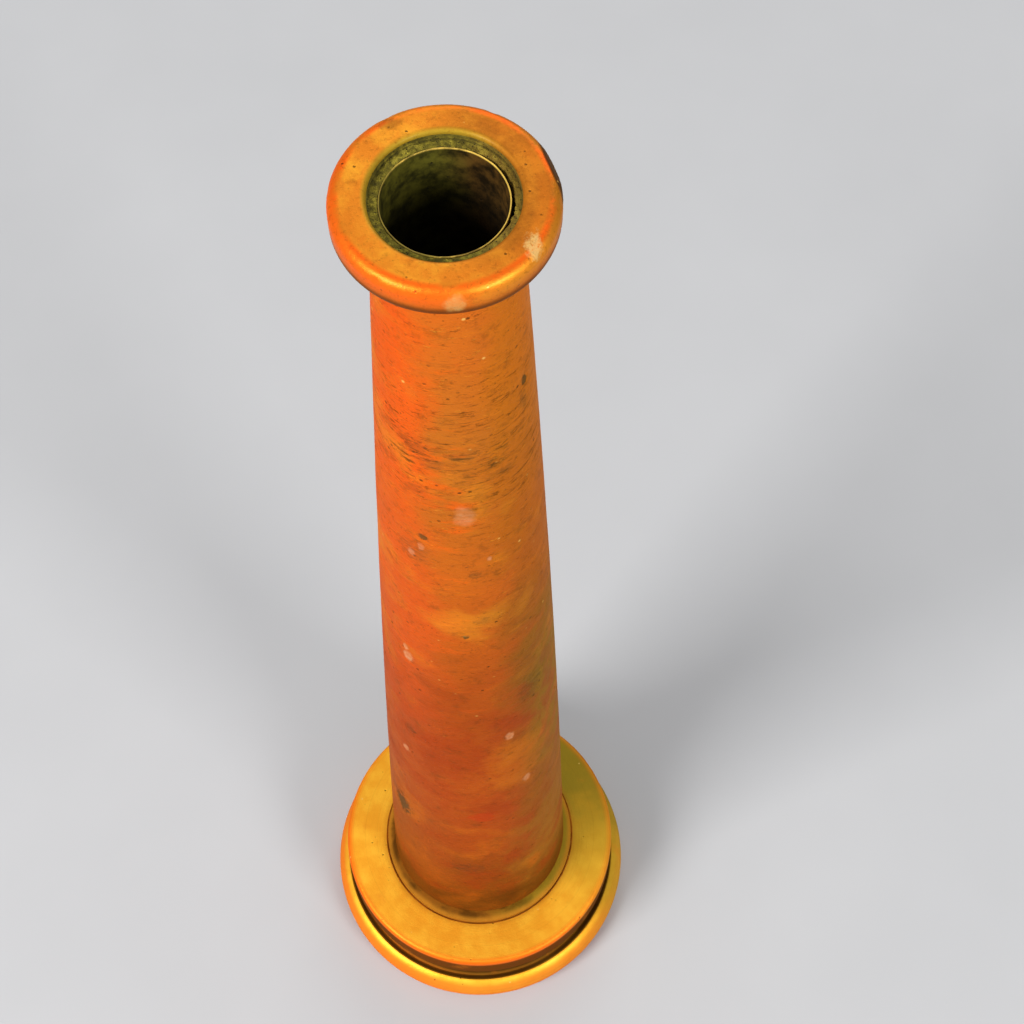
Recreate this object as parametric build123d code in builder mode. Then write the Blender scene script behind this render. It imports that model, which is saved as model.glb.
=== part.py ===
"""Fire hose nozzle: a tapered brass barrel with a beaded tip and a free-turning hose coupling.

Millimetres, +Z up. The origin is the centre of the coupling's lower face, on which the nozzle
stands. Every piece is round about the Z axis except the ball port and its screw.
"""
from build123d import *
from math import cos, pi, radians, sin
import os

INCH = 25.4

# Whole nozzle
nozzle_length = 10 * INCH
coupling_height = 20.0

# Tip ring: the bead round the outlet
bead_radius = 13.0
bead_height = 5.1
bead_top_round = 1.4
bead_bottom_round = 1.85
tip_seat_radius = 8.6
recess_depth = 1.4
recess_lip_round = 0.6

# Barrel
barrel_tip_radius = 8.7
barrel_foot_radius = 18.25
barrel_bulge = 0.65
barrel_foot_height = 23.0

# Outlet sleeve: the thin tube in the end of the barrel
outlet_radius = 7.2
sleeve_wall = 0.5
sleeve_length = 28.0
sleeve_proud = 0.15
sleeve_lip_round = 0.15

# Tailpiece: turned ring that carries the barrel and the inner ball race
tail_bore_radius = 16.0
tail_journal_radius = 19.92
tail_bottom_height = 14.7
tail_collar_height = 20.7
spigot_radius = 17.0
spigot_top_height = 36.0
tail_mouth_chamfer = 0.8

# Swivel coupling, outside
base_radius = 1.25 * INCH
base_bead_round = 4.05
groove_edge_radius = 29.36
groove_floor_radius = 27.6
groove_low_height = 7.0
groove_high_height = 12.6
groove_round = 0.6
disc_radius = 28.87
disc_edge_round = 0.9

# Swivel coupling, inside: 1 1/2-9 NH hose thread, gasket seat and running bore
swivel_bore_radius = 20.0
swivel_bore_chamfer = 0.3
thread_pitch = INCH / 9
thread_minor_radius = 1.8577 * INCH / 2
thread_major_radius = 2.0020 * INCH / 2
thread_root_flat = thread_pitch / 8
thread_first_crest = 2.22
thread_grooves = 3
lead_in_radius = 25.6
gasket_seat_radius = 26.2
gasket_seat_top = 14.4

# Hose gasket
gasket_inner_radius = 17.0
gasket_outer_radius = 26.15
gasket_thickness = 3.1
gasket_edge_round = 0.3

# Ball race, balls and ball port
ball_radius = INCH / 16
race_radius = 1.65
race_pitch_radius = 19.96
race_height = 17.3
ball_count = 38
port_radius = 1.9
port_direction = 90.0
screw_recess = 0.25
screw_inner_end = 21.75
screw_slot_width = 0.8
screw_slot_depth = 1.0

# Worked-out heights and slopes
bead_bottom_height = nozzle_length - bead_height
barrel_top_height = nozzle_length - recess_depth
sleeve_top_height = barrel_top_height + sleeve_proud
sleeve_bottom_height = sleeve_top_height - sleeve_length
sleeve_radius = outlet_radius + sleeve_wall
thread_flank_rise = (thread_major_radius - thread_minor_radius) / 3 ** 0.5
thread_top_height = gasket_seat_top - gasket_thickness

os.makedirs("parts", exist_ok=True)


def save(part, label):
    """Label a finished piece and write it as its own STEP file."""
    part.label = label
    export_step(part, f"parts/{label}.step")


def quarter_arc(start, corner, end):
    """Round a square corner: an arc from start to end, each as far from the corner."""
    centre = (start[0] + end[0] - corner[0], start[1] + end[1] - corner[1])
    middle = tuple(c + (k - c) * 0.5 ** 0.5 for c, k in zip(centre, corner))
    ThreePointArc(start, middle, end)


# ---- barrel: tapered tube with a slightly swelling side, cut for the sleeve and the spigot
def barrel_side_control():
    """Control point that makes the side of the barrel swell by barrel_bulge half way up."""
    middle_radius = (barrel_foot_radius + barrel_tip_radius) / 2
    middle_height = (barrel_foot_height + bead_bottom_height) / 2
    return middle_radius + 2 * barrel_bulge, middle_height


with BuildPart() as barrel:
    with BuildSketch(Plane.XZ):
        with BuildLine():
            Bezier(
                (barrel_foot_radius, barrel_foot_height),
                barrel_side_control(),
                (barrel_tip_radius, bead_bottom_height),
            )
            Polyline(
                (barrel_tip_radius, bead_bottom_height),
                (tip_seat_radius, bead_bottom_height),
                (tip_seat_radius, barrel_top_height),
                (sleeve_radius, barrel_top_height),
                (sleeve_radius, sleeve_bottom_height),
                (outlet_radius, sleeve_bottom_height),
                (tail_bore_radius, spigot_top_height),
                (spigot_radius, spigot_top_height),
                (spigot_radius, barrel_foot_height),
                (barrel_foot_radius, barrel_foot_height),
            )
        make_face()
    revolve(axis=Axis.Z)
save(barrel.part, "barrel")

# ---- tip ring: the bead, slipped over the end of the barrel and sweated on
with BuildPart() as tip_ring:
    lip_radius = tip_seat_radius + recess_lip_round
    bead_shoulder_height = nozzle_length - bead_top_round
    bead_belly_height = bead_bottom_height + bead_bottom_round
    with BuildSketch(Plane.XZ):
        with BuildLine():
            Line((tip_seat_radius, bead_bottom_height),
                 (tip_seat_radius, nozzle_length - recess_lip_round))
            quarter_arc((tip_seat_radius, nozzle_length - recess_lip_round),
                        (tip_seat_radius, nozzle_length), (lip_radius, nozzle_length))
            Line((lip_radius, nozzle_length), (bead_radius - bead_top_round, nozzle_length))
            quarter_arc((bead_radius - bead_top_round, nozzle_length),
                        (bead_radius, nozzle_length), (bead_radius, bead_shoulder_height))
            Line((bead_radius, bead_shoulder_height), (bead_radius, bead_belly_height))
            quarter_arc((bead_radius, bead_belly_height), (bead_radius, bead_bottom_height),
                        (bead_radius - bead_bottom_round, bead_bottom_height))
            Line((bead_radius - bead_bottom_round, bead_bottom_height),
                 (tip_seat_radius, bead_bottom_height))
        make_face()
    revolve(axis=Axis.Z)
save(tip_ring.part, "tip_ring")

# ---- outlet sleeve: thin drawn tube pressed down to a shoulder in the barrel
with BuildPart() as outlet_sleeve:
    with BuildSketch(Plane.XY.offset(sleeve_bottom_height)):
        Circle(sleeve_radius)
        Circle(outlet_radius, mode=Mode.SUBTRACT)
    extrude(amount=sleeve_length)
    fillet(outlet_sleeve.faces().sort_by(Axis.Z)[-1].edges(), radius=sleeve_lip_round)
save(outlet_sleeve.part, "outlet_sleeve")

# ---- tailpiece: spigot up into the barrel, coved collar, journal and inner half of the race
with BuildPart() as tailpiece:
    with BuildSketch(Plane.XZ):
        with BuildLine():
            Polyline(
                (tail_bore_radius, spigot_top_height),
                (tail_bore_radius, tail_bottom_height + tail_mouth_chamfer),
                (tail_bore_radius + tail_mouth_chamfer, tail_bottom_height),
                (tail_journal_radius, tail_bottom_height),
                (tail_journal_radius, tail_collar_height),
            )
            RadiusArc((tail_journal_radius, tail_collar_height),
                      (barrel_foot_radius, barrel_foot_height),
                      (barrel_foot_height - tail_collar_height) * 1.2)
            Polyline(
                (barrel_foot_radius, barrel_foot_height),
                (spigot_radius, barrel_foot_height),
                (spigot_radius, spigot_top_height),
                (tail_bore_radius, spigot_top_height),
            )
        make_face()
    revolve(axis=Axis.Z)
    with BuildSketch(Plane.XZ):
        with Locations((race_pitch_radius, race_height)):
            Circle(race_radius)
    revolve(axis=Axis.Z, mode=Mode.SUBTRACT)
save(tailpiece.part, "tailpiece")


# ---- swivel coupling: spool-shaped collar that turns on the tailpiece
def coupling_outline():
    """Outer and inner outline of the coupling, without its thread, race and port."""
    bead_centre_radius = base_radius - base_bead_round
    edge_rise = (base_bead_round ** 2 - (groove_edge_radius - bead_centre_radius) ** 2) ** 0.5
    groove_edge_height = base_bead_round + edge_rise
    wall_low_height = groove_low_height + groove_round
    wall_high_height = groove_high_height - groove_round
    side_low_height = groove_high_height + groove_round
    ThreePointArc((bead_centre_radius, 0), (base_radius, base_bead_round),
                  (groove_edge_radius, groove_edge_height))
    Line((groove_edge_radius, groove_edge_height),
         (groove_floor_radius + groove_round, groove_low_height))
    quarter_arc((groove_floor_radius + groove_round, groove_low_height),
                (groove_floor_radius, groove_low_height),
                (groove_floor_radius, wall_low_height))
    Line((groove_floor_radius, wall_low_height), (groove_floor_radius, wall_high_height))
    quarter_arc((groove_floor_radius, wall_high_height),
                (groove_floor_radius, groove_high_height),
                (groove_floor_radius + groove_round, groove_high_height))
    Line((groove_floor_radius + groove_round, groove_high_height),
         (disc_radius - groove_round, groove_high_height))
    quarter_arc((disc_radius - groove_round, groove_high_height),
                (disc_radius, groove_high_height), (disc_radius, side_low_height))
    Line((disc_radius, side_low_height), (disc_radius, coupling_height - disc_edge_round))
    quarter_arc((disc_radius, coupling_height - disc_edge_round),
                (disc_radius, coupling_height),
                (disc_radius - disc_edge_round, coupling_height))
    Polyline(
        (disc_radius - disc_edge_round, coupling_height),
        (swivel_bore_radius + swivel_bore_chamfer, coupling_height),
        (swivel_bore_radius, coupling_height - swivel_bore_chamfer),
        (swivel_bore_radius, gasket_seat_top),
        (gasket_seat_radius, gasket_seat_top),
        (gasket_seat_radius, thread_top_height),
        (thread_minor_radius, thread_top_height),
        (thread_minor_radius, lead_in_radius - thread_minor_radius),
        (lead_in_radius, 0),
        (bead_centre_radius, 0),
    )


def thread_groove(height):
    """One 60 degree thread groove at this height, flat at the root, open into the bore."""
    root = thread_root_flat / 2
    mouth = root + thread_flank_rise
    Polyline(
        (thread_major_radius, height - root),
        (thread_minor_radius, height - mouth),
        (thread_minor_radius - 1, height - mouth),
        (thread_minor_radius - 1, height + mouth),
        (thread_minor_radius, height + mouth),
        (thread_major_radius, height + root),
        (thread_major_radius, height - root),
    )


with BuildPart() as swivel_coupling:
    with BuildSketch(Plane.XZ):
        with BuildLine():
            coupling_outline()
        make_face()
    revolve(axis=Axis.Z)
    for groove in range(thread_grooves):
        with BuildSketch(Plane.XZ):
            with BuildLine():
                thread_groove(thread_first_crest + (groove + 0.5) * thread_pitch)
            make_face()
        revolve(axis=Axis.Z, mode=Mode.SUBTRACT)
    with BuildSketch(Plane.XZ):
        with Locations((race_pitch_radius, race_height)):
            Circle(race_radius)
    revolve(axis=Axis.Z, mode=Mode.SUBTRACT)
    port_plane = Plane(
        origin=(0, 0, race_height),
        z_dir=(cos(radians(port_direction)), sin(radians(port_direction)), 0),
    )
    with BuildSketch(port_plane.offset(race_pitch_radius)):
        Circle(port_radius)
    extrude(amount=disc_radius, mode=Mode.SUBTRACT)
save(swivel_coupling.part, "swivel_coupling")

# ---- ball port screw: headless slotted screw that closes the hole the balls went in by
with BuildPart() as ball_port_screw:
    screw_outer_end = disc_radius - screw_recess
    with BuildSketch(port_plane.offset(screw_inner_end)):
        Circle(port_radius)
    extrude(amount=screw_outer_end - screw_inner_end)
    with BuildSketch(port_plane.offset(screw_outer_end)):
        Rectangle(3 * port_radius, screw_slot_width)
    extrude(amount=-screw_slot_depth, mode=Mode.SUBTRACT)
save(ball_port_screw.part, "ball_port_screw")

# ---- hose gasket: rubber washer sprung into its seat behind the thread
with BuildPart() as hose_gasket:
    with BuildSketch(Plane.XY.offset(thread_top_height)):
        Circle(gasket_outer_radius)
        Circle(gasket_inner_radius, mode=Mode.SUBTRACT)
    extrude(amount=gasket_thickness)
    fillet(hose_gasket.edges().filter_by(GeomType.CIRCLE), radius=gasket_edge_round)
save(hose_gasket.part, "hose_gasket")

# ---- swivel balls: a full row of bronze balls between the two halves of the race
for number in range(ball_count):
    turn = 2 * pi * number / ball_count
    with BuildPart() as swivel_ball:
        with Locations((race_pitch_radius * cos(turn), race_pitch_radius * sin(turn), race_height)):
            Sphere(ball_radius)
    save(swivel_ball.part, f"swivel_ball_{number + 1:02d}")
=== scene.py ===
"""Looks of the fire hose nozzle: worn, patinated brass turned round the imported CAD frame.

Metres, +Z up along the nozzle's axis. Azimuth is the angle round that axis from +X towards +Y,
so that -90 degrees is the front.
"""

from math import acos, cos, degrees, exp, hypot, pi, radians, sin

import bmesh
import bpy
from mathutils import Matrix, Vector, noise


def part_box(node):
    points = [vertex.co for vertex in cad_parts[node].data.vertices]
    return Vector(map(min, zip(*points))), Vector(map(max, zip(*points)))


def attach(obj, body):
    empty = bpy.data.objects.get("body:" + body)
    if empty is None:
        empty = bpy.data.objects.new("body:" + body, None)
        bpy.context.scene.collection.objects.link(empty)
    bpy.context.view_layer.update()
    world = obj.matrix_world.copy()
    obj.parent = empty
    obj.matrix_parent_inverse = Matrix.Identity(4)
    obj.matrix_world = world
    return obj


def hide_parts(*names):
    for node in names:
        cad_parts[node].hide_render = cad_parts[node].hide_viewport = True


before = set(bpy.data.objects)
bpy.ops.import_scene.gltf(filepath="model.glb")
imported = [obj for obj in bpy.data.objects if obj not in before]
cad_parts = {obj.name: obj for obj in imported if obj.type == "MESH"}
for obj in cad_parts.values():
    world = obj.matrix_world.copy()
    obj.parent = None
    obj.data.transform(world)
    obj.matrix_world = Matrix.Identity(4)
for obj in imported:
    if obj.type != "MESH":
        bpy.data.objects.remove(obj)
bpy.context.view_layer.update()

MM = 0.001


# ---- sizes, read from the frame
def low(node):
    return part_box(node)[0]


def high(node):
    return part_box(node)[1]


def radius_of(node):
    return (high(node).x - low(node).x) / 2


TOP = high("tip_ring").z
BEAD_RADIUS = radius_of("tip_ring")
BEAD_BOTTOM = low("tip_ring").z
BARREL_TOP = high("barrel").z
BARREL_FOOT = low("barrel").z
FOOT_RADIUS = radius_of("barrel")
SLEEVE_TOP = high("outlet_sleeve").z
SLEEVE_BOTTOM = low("outlet_sleeve").z
SLEEVE_RADIUS = radius_of("outlet_sleeve")
OUTLET_RADIUS = SLEEVE_RADIUS - 0.5 * MM
SPIGOT_TOP = high("tailpiece").z
TAIL_BOTTOM = low("tailpiece").z
JOURNAL_RADIUS = radius_of("tailpiece")
BASE_RADIUS = radius_of("swivel_coupling")
DISC_TOP = high("swivel_coupling").z
GASKET_RADIUS = radius_of("hose_gasket")
GASKET_BOTTOM = low("hose_gasket").z
GASKET_TOP = high("hose_gasket").z
BALL_HEIGHT = (low("swivel_ball_01").z + high("swivel_ball_01").z) / 2

# ---- sizes the frame's boxes don't give, as the CAD has them
TIP_SEAT_RADIUS = 8.6 * MM
NECK_RADIUS = 8.7 * MM
BARREL_BULGE = 0.65 * MM
TAIL_BORE_RADIUS = 16.0 * MM
SPIGOT_RADIUS = 17.0 * MM
COLLAR_HEIGHT = 20.7 * MM
RACE_RADIUS = 1.65 * MM
RACE_PITCH_RADIUS = 19.96 * MM
SWIVEL_BORE_RADIUS = 20.0 * MM
DISC_RADIUS = 28.87 * MM
GROOVE_EDGE_RADIUS = 29.36 * MM
GROOVE_FLOOR_RADIUS = 27.6 * MM
GROOVE_LOW = 7.0 * MM
GROOVE_HIGH = 12.6 * MM
BASE_BEAD_ROUND = 4.05 * MM
LEAD_IN_RADIUS = 25.6 * MM
THREAD_MINOR_RADIUS = 23.593 * MM
THREAD_DEPTH = 1.83 * MM
THREAD_PITCH = 25.4 / 9 * MM
GASKET_SEAT_RADIUS = 26.2 * MM
GASKET_INNER_RADIUS = 17.0 * MM


# ======================================================================================
# Shader writing
# ======================================================================================
# The Mix node's colour sockets share their names with its number sockets, so they go by place
MIX_MASK, MIX_BELOW, MIX_ABOVE, MIX_RESULT = 0, 6, 7, 2


class Tap:
    """An output socket of a finish, so that shader maths is written as Python maths."""

    def __init__(self, finish, socket):
        self.finish = finish
        self.socket = socket

    def maths(self, operation, *values):
        return self.finish.node("ShaderNodeMath", {"operation": operation}, dict(enumerate(values)))

    def __add__(self, other):
        return self.maths("ADD", self, other)

    __radd__ = __add__

    def __sub__(self, other):
        return self.maths("SUBTRACT", self, other)

    def __rsub__(self, other):
        return self.maths("SUBTRACT", other, self)

    def __mul__(self, other):
        return self.maths("MULTIPLY", self, other)

    __rmul__ = __mul__

    def __truediv__(self, other):
        return self.maths("DIVIDE", self, other)

    def __pow__(self, other):
        return self.maths("POWER", self, other)

    def __abs__(self):
        return self.maths("ABSOLUTE", self)

    def at_least(self, other):
        return self.maths("MAXIMUM", self, other)


class Finish:
    """A material of the nozzle and the places on it that its wear is written in."""

    def __init__(self, name):
        self.material = bpy.data.materials.new(name)
        self.material.use_nodes = True
        self.tree = self.material.node_tree
        self.tree.nodes.clear()
        self.place = self.node("ShaderNodeTexCoord", output="Object")
        self.x = self.part_of(self.place, "X")
        self.y = self.part_of(self.place, "Y")
        self.height = self.part_of(self.place, "Z")
        self.radius = (self.x * self.x + self.y * self.y) ** 0.5

    def node(self, kind, settings=None, inputs=None, output=0):
        """Add a node, set it up, feed its sockets with values or links, and give one output."""
        made = self.tree.nodes.new(kind)
        for key, value in (settings or {}).items():
            if key == "stops":
                self.set_stops(made.color_ramp, value)
            else:
                setattr(made, key, value)
        for key, value in (inputs or {}).items():
            if isinstance(value, Tap):
                self.tree.links.new(value.socket, made.inputs[key])
            else:
                made.inputs[key].default_value = value
        return Tap(self, made.outputs[output]) if made.outputs else None

    @staticmethod
    def set_stops(ramp, stops):
        while len(ramp.elements) < len(stops):
            ramp.elements.new(1.0)
        for element, (position, colour) in zip(ramp.elements, stops):
            element.position = position
            element.color = (*colour, 1.0)

    def part_of(self, vector, letter):
        return self.node("ShaderNodeSeparateXYZ", None, {0: vector}, letter)

    def stretched(self, across, along):
        """The place on the piece, drawn out so that a pattern runs round the axis or along it."""
        return self.node("ShaderNodeVectorMath", {"operation": "MULTIPLY"},
                         {0: self.place, 1: (across, across, along)})

    def moved(self, place, shift):
        """A place set off by the same step along x, y and z, so that no two patterns agree."""
        return self.node("ShaderNodeVectorMath", {"operation": "ADD"}, {0: place, 1: (shift,) * 3})

    def clouds(self, size, detail=4.0, roughness=0.55, place=None, shift=0.0, warp=0.0):
        """Soft noise from 0 to 1 whose lumps are about this size in metres."""
        return self.node("ShaderNodeTexNoise", {"noise_dimensions": "3D"},
                         {"Vector": self.moved(place or self.place, shift), "Scale": 1 / size,
                          "Detail": detail, "Roughness": roughness, "Distortion": warp}, "Fac")

    def streaks(self, across, along, detail, roughness, shift, warp=0.0):
        """Noise drawn out round the axis or along it, its lumps counted per metre."""
        return self.clouds(1.0, detail, roughness, self.stretched(across, along), shift, warp)

    def grains(self, size, shift=0.0):
        """Distance to the nearest of many scattered points, 0 at each point."""
        return self.node("ShaderNodeTexVoronoi", {"feature": "F1"},
                         {"Vector": self.moved(self.place, shift), "Scale": 1 / size}, "Distance")

    def fade(self, value, start, end):
        """0 before start and 1 after end, with a soft step between. start may be above end."""
        flip = start > end
        lowest, highest = (end, start) if flip else (start, end)
        return self.node("ShaderNodeMapRange", {"interpolation_type": "SMOOTHSTEP"},
                         {"Value": value, "From Min": lowest, "From Max": highest,
                          "To Min": 1.0 if flip else 0.0, "To Max": 0.0 if flip else 1.0})

    def band(self, value, centre, half_width):
        """1 on the centre line of a band, 0 beyond its edges."""
        return self.fade(abs(value - centre), half_width, 0.0)

    def towards(self, azimuth_deg):
        """Cosine of the angle round the axis from this azimuth: 1 facing it, -1 opposite."""
        turn = radians(azimuth_deg)
        return (self.x * cos(turn) + self.y * sin(turn)) / self.radius

    def ramp(self, value, stops):
        """A run of colours along a value from 0 to 1."""
        return self.node("ShaderNodeValToRGB", {"stops": stops}, {0: value})

    def spot(self, point, ragged, size, grain):
        """A mark round a point, this far across along x, y and z, its edge ragged by grain."""
        offset = self.node("ShaderNodeVectorMath", {"operation": "SUBTRACT"},
                           {0: self.place, 1: point})
        scaled = self.node("ShaderNodeVectorMath", {"operation": "MULTIPLY"},
                           {0: offset, 1: tuple(1 / side for side in size)})
        away = self.node("ShaderNodeVectorMath", {"operation": "LENGTH"}, {0: scaled}, "Value")
        rag = (self.clouds(grain, 4.0, 0.65) - 0.5) * (2 * ragged)
        return self.fade(away + rag, 1.0, 0.45)

    def mix(self, mask, below, above):
        """Colour above where the mask is 1, colour below where it is 0."""
        return self.node("ShaderNodeMix", {"data_type": "RGBA"},
                         {MIX_MASK: mask, MIX_BELOW: self.opaque(below),
                          MIX_ABOVE: self.opaque(above)}, MIX_RESULT)

    @staticmethod
    def opaque(colour):
        return colour if isinstance(colour, Tap) else (*colour, 1.0)

    def close(self, colour, roughness, metallic, relief, depth, coat=0.0, specular=0.5,
              edge=(1, 1, 1)):
        """Wire the finished colour, roughness, metal and relief to the surface."""
        bump = self.node("ShaderNodeBump", None,
                         {"Height": relief, "Distance": depth, "Strength": 1.0})
        surface = self.node("ShaderNodeBsdfPrincipled", None,
                            {"Base Color": self.opaque(colour), "Roughness": roughness,
                             "Metallic": metallic, "Normal": bump,
                             "Coat Weight": coat, "Coat Roughness": 0.25,
                             "Specular IOR Level": specular,
                             "Specular Tint": self.opaque(edge)})
        self.node("ShaderNodeOutputMaterial", None, {"Surface": surface})
        return self.material


# ======================================================================================
# Turned shapes
# ======================================================================================
class Outline:
    """Outline of a turned piece: radius and height points, each stretch with a finish number."""

    def __init__(self, radius, height):
        self.points = [(radius, height)]
        self.finishes = []

    def line(self, radius, height, step=1.0 * MM, finish=0):
        """Run straight to a point, with a vertex at every step."""
        start = self.points[-1]
        pieces = max(1, round(hypot(radius - start[0], height - start[1]) / step))
        for i in range(1, pieces + 1):
            share = i / pieces
            self.points.append((start[0] + (radius - start[0]) * share,
                                start[1] + (height - start[1]) * share))
            self.finishes.append(finish)
        return self

    def corner(self, corner, end, pieces=6, finish=0):
        """Round a square corner off to end."""
        start = self.points[-1]
        centre = (start[0] + end[0] - corner[0], start[1] + end[1] - corner[1])
        for i in range(1, pieces + 1):
            turn = pi / 2 * i / pieces
            self.points.append(tuple(c + (s - c) * cos(turn) + (e - c) * sin(turn)
                                     for c, s, e in zip(centre, start, end)))
            self.finishes.append(finish)
        return self

    def arc(self, centre, round_radius, start_deg, end_deg, pieces=24, finish=0):
        """Follow a circle round centre from one direction to another."""
        for i in range(pieces + 1):
            turn = radians(start_deg + (end_deg - start_deg) * i / pieces)
            self.points.append((centre[0] + round_radius * cos(turn),
                                centre[1] + round_radius * sin(turn)))
            self.finishes.append(finish)
        return self

    def curve(self, shape, start, end, step, finish=0):
        """Follow radius = shape(height) from one height to another."""
        pieces = max(1, round(abs(end - start) / step))
        for i in range(1, pieces + 1):
            height = start + (end - start) * i / pieces
            self.points.append((shape(height), height))
            self.finishes.append(finish)
        return self


def turn_piece(name, outline, finishes, body, node, sectors=240, wear=None, crease_deg=32):
    """Turn an outline about the axis into a closed ring, worn by wear(azimuth, r, z, finish)."""
    points = outline.points
    if hypot(points[0][0] - points[-1][0], points[0][1] - points[-1][1]) < 0.001 * MM:
        points = points[:-1]
    stretch_finishes = (outline.finishes + [outline.finishes[-1]])[:len(points)]
    mesh = bmesh.new()
    rings = []
    for i in range(sectors):
        azimuth = 2 * pi * i / sectors - pi
        ring = []
        for (radius, height), finish in zip(points, stretch_finishes):
            if wear:
                radius, height = wear(azimuth, radius, height, finish)
            ring.append(mesh.verts.new((radius * cos(azimuth), radius * sin(azimuth), height)))
        rings.append(ring)
    for ring, following in zip(rings, rings[1:] + rings[:1]):
        for k, finish in enumerate(stretch_finishes):
            after = (k + 1) % len(points)
            face = mesh.faces.new((ring[k], following[k], following[after], ring[after]))
            face.material_index = finish
            face.smooth = True
    return finish_piece(name, mesh, finishes, body, node, crease_deg)


def finish_piece(name, mesh, finishes, body, node, crease_deg=32):
    """Make the object from its mesh, face it outwards, and hang it on the frame."""
    bmesh.ops.recalc_face_normals(mesh, faces=mesh.faces)
    data = bpy.data.meshes.new(name)
    mesh.to_mesh(data)
    mesh.free()
    for finish in finishes:
        data.materials.append(finish)
    data.set_sharp_from_angle(angle=radians(crease_deg))
    piece = bpy.data.objects.new(name, data)
    bpy.context.scene.collection.objects.link(piece)
    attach(piece, body)
    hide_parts(node)
    return piece


# ---- small marks shared by the wear of every piece
def ripple(azimuth, radius, height, size, seed=0.0):
    """Smooth noise from about -1 to 1 over the surface of the metal."""
    spot = Vector((radius * cos(azimuth), radius * sin(azimuth), height)) / size
    return noise.noise(spot + Vector((seed, seed * 1.7, seed * 0.3)))


def turn_between(azimuth, centre):
    """Signed angle from centre to azimuth, the short way round."""
    return (azimuth - centre + pi) % (2 * pi) - pi


def dent(azimuth, radius, height, azimuth_deg, at_height, size):
    """Depth share of a round dent: 1 in its middle and 0 outside."""
    across = turn_between(azimuth, radians(azimuth_deg)) * radius
    away = hypot(across, height - at_height) / size
    return max(0.0, 1 - away * away) ** 2


# ======================================================================================
# Finishes
# ======================================================================================
def shade(red, green, blue):
    """A swatch matched on the 0 to 255 scale, as the colour that a shader takes."""
    return tuple(((part / 255 + 0.055) / 1.055) ** 2.4 for part in (red, green, blue))


# Brass under old patina, from rubbed edges to black dirt and painted shade
BRIGHT_BRASS = shade(255, 214, 120)
YELLOW_BRASS = shade(255, 186, 60)
GOLD = shade(250, 165, 45)
AMBER = shade(228, 128, 34)
ORANGE = shade(240, 118, 28)
RED_ORANGE = shade(252, 92, 18)
SCARLET = shade(215, 50, 18)
BRICK = shade(176, 66, 22)
BROWN = shade(110, 62, 18)
UMBER = shade(52, 34, 14)
OLIVE = shade(150, 128, 34)
DARK_OLIVE = shade(74, 68, 20)
BLACK_DIRT_AND_SHADE = shade(22, 20, 14)
PALE_SCALE = shade(244, 200, 160)
PINK_SCALE = shade(240, 160, 112)
WARM_EDGE = (1.0, 0.55, 0.15)

# Patina down the barrel, by share of its height, on each of its sides; the left side's bright
# red-orange is partly painted light and the right side's brown partly painted shade
LEFT_PATINA_AND_LIGHT = ((0.00, shade(112, 62, 17)), (0.08, shade(160, 84, 24)), (0.29, shade(186, 84, 32)),
               (0.42, shade(196, 78, 28)), (0.60, shade(226, 94, 30)), (0.80, shade(238, 102, 28)),
               (1.00, shade(246, 98, 24)))
FRONT_PATINA = ((0.00, shade(96, 56, 14)), (0.07, shade(140, 78, 20)), (0.20, shade(178, 80, 22)),
                (0.32, shade(192, 88, 24)), (0.45, shade(180, 82, 22)), (0.66, shade(212, 106, 28)),
                (0.84, shade(204, 116, 36)), (1.00, shade(226, 114, 34)))
RIGHT_PATINA_AND_SHADE = ((0.00, shade(104, 78, 22)), (0.10, shade(170, 112, 36)), (0.30, shade(160, 98, 30)),
                (0.50, shade(146, 92, 26)), (0.70, shade(192, 102, 24)), (0.85, shade(206, 118, 26)),
                (1.00, shade(222, 122, 28)))
BACK_PATINA = ((0.00, shade(96, 70, 20)), (0.15, shade(150, 92, 28)), (0.45, shade(178, 92, 26)),
               (0.70, shade(196, 98, 28)), (1.00, shade(214, 112, 30)))


def on_barrel(azimuth_deg, height_mm):
    """The point on the barrel's outside at this azimuth and height."""
    radius = barrel_side(height_mm * MM)
    turn = radians(azimuth_deg)
    return (radius * cos(turn), radius * sin(turn), height_mm * MM)


def on_bead(azimuth_deg, radius_mm, below_top_mm=0.0):
    """The point on the bead at this azimuth and radius, this far below its top."""
    turn = radians(azimuth_deg)
    return (radius_mm * MM * cos(turn), radius_mm * MM * sin(turn), TOP - below_top_mm * MM)


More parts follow.
